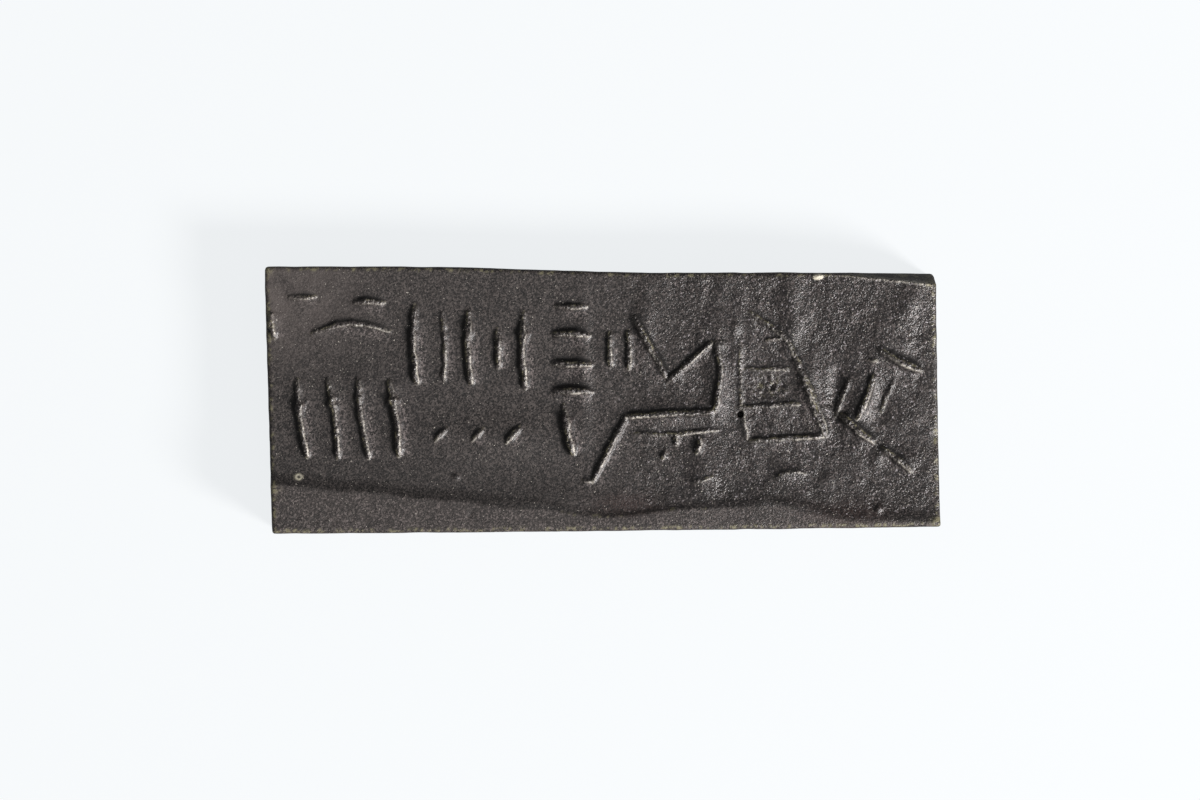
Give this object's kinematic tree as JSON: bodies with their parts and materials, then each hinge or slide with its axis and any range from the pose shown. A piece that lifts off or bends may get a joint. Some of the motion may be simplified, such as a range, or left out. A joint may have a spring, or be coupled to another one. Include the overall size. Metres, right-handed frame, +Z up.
{
  "type": "cylinder seal impression",
  "caption": "Flat knife-cut strip of dark modelling clay bearing the raised rolled impression of an ancient cylinder seal, with an unpressed rim along its lower edge.",
  "frame": {"origin": "on the flat underside, at the middle of the bounding box", "axes": "+X along the strip from its left end to its right, +Y towards the top edge of the relief, +Z up out of the pressed face"},
  "size_m": [0.047, 0.0186, 0.0045],
  "materials": {
    "modelling_clay": "dark grey-brown modelling clay, fine-grained, with a dull sheen on the pressed field"
  },
  "bodies": {
    "root": {"impression_strip": "modelling_clay"}
  },
  "joints": []
}
